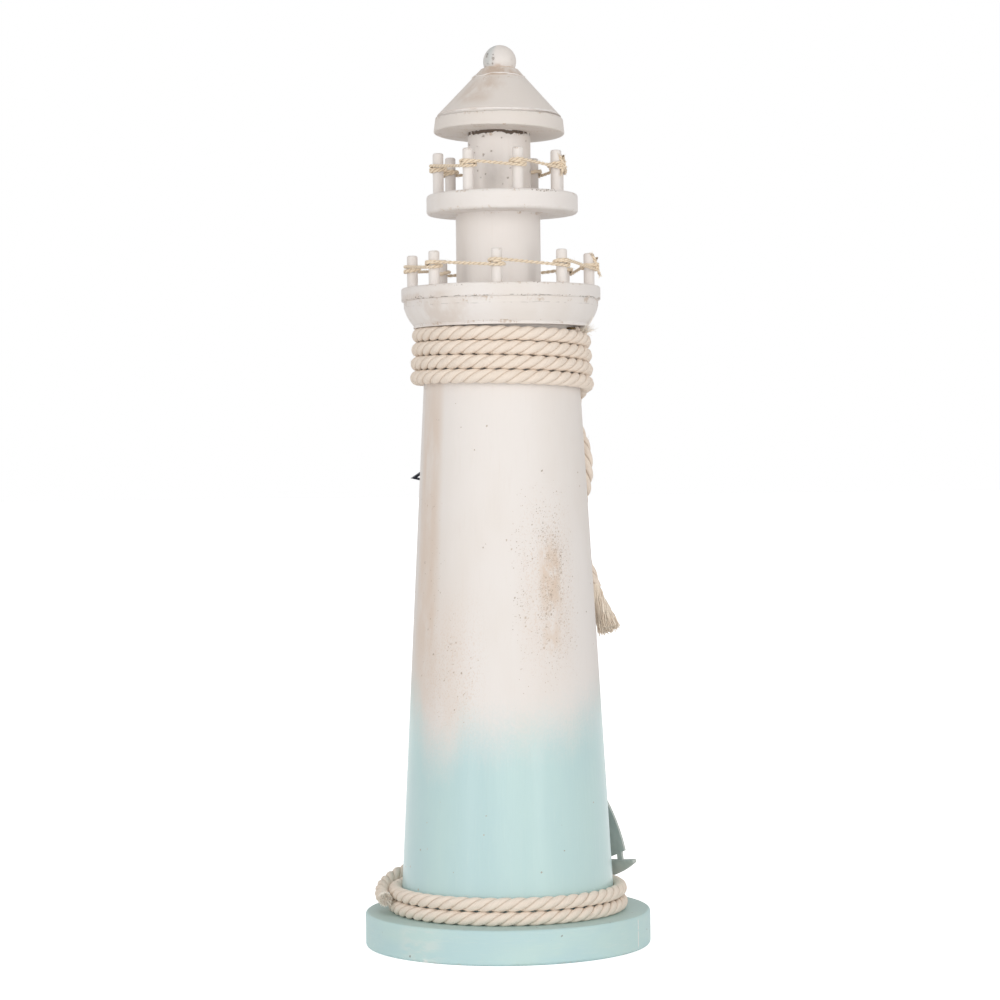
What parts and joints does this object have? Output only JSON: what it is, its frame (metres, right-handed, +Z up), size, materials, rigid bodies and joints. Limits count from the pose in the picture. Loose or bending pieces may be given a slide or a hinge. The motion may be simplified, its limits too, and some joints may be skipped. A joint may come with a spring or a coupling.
{
  "type": "lighthouse ornament",
  "caption": "Painted wooden lighthouse ornament: tapered tower on a round base, railed galleries strung with twine, cone roof, rope wound under the gallery and round the foot.",
  "frame": {"origin": "middle of the base's underside, on the surface that the ornament stands on", "axes": "+Z up along the tower's axis; the plain side, which the picture shows, faces -Y, and the decorated side faces +Y"},
  "size_m": [0.1586, 0.1586, 0.4999],
  "materials": {
    "white_paint": "matt off-white paint, rubbed through in places",
    "tower_paint": "matt off-white paint that fades to aqua at the foot, rubbed through in places",
    "aqua_paint": "matt aqua paint, chipped at the edges",
    "bare_wood": "unpainted wood",
    "cotton_rope": "three-strand cotton rope",
    "jute_twine": "thin natural twine",
    "boat_paint": "matt grey-green paint, worn at the tips",
    "anchor_metal": "dark blue-black paint",
    "staple_brass": "dull wire",
    "steel": "zinc-plated steel"
  },
  "bodies": {
    "root": {"anchor": "anchor_metal", "anchor_nail": "steel", "base_plinth": "aqua_paint", "base_rope_winding": "cotton_rope", "base_screw": "steel", "boat_hull": "boat_paint", "boat_sail": "boat_paint", "finial_ball": "white_paint", "finial_pin": "bare_wood", "gallery_cornice": "white_paint", "gallery_deck": "white_paint", "gallery_dowel": "bare_wood", "gallery_post_1": "white_paint", "gallery_post_2": "white_paint", "gallery_post_3": "white_paint", "gallery_post_4": "white_paint", "gallery_post_5": "white_paint", "gallery_post_6": "white_paint", "gallery_post_7": "white_paint", "gallery_post_8": "white_paint", "gallery_rail_twine": "jute_twine", "hanging_rope_tail": "cotton_rope", "lantern_deck": "white_paint", "lantern_dowel": "bare_wood", "lantern_post_1": "white_paint", "lantern_post_2": "white_paint", "lantern_post_3": "white_paint", "lantern_post_4": "white_paint", "lantern_post_5": "white_paint", "lantern_post_6": "white_paint", "lantern_post_7": "white_paint", "lantern_post_8": "white_paint", "lantern_rail_twine": "jute_twine", "lantern_room": "white_paint", "roof_cap": "white_paint", "roof_dowel": "bare_wood", "rope_staple": "staple_brass", "rope_tassel": "cotton_rope", "tower_body": "tower_paint", "tower_rope_winding": "cotton_rope", "watch_room": "white_paint"}
  },
  "joints": []
}
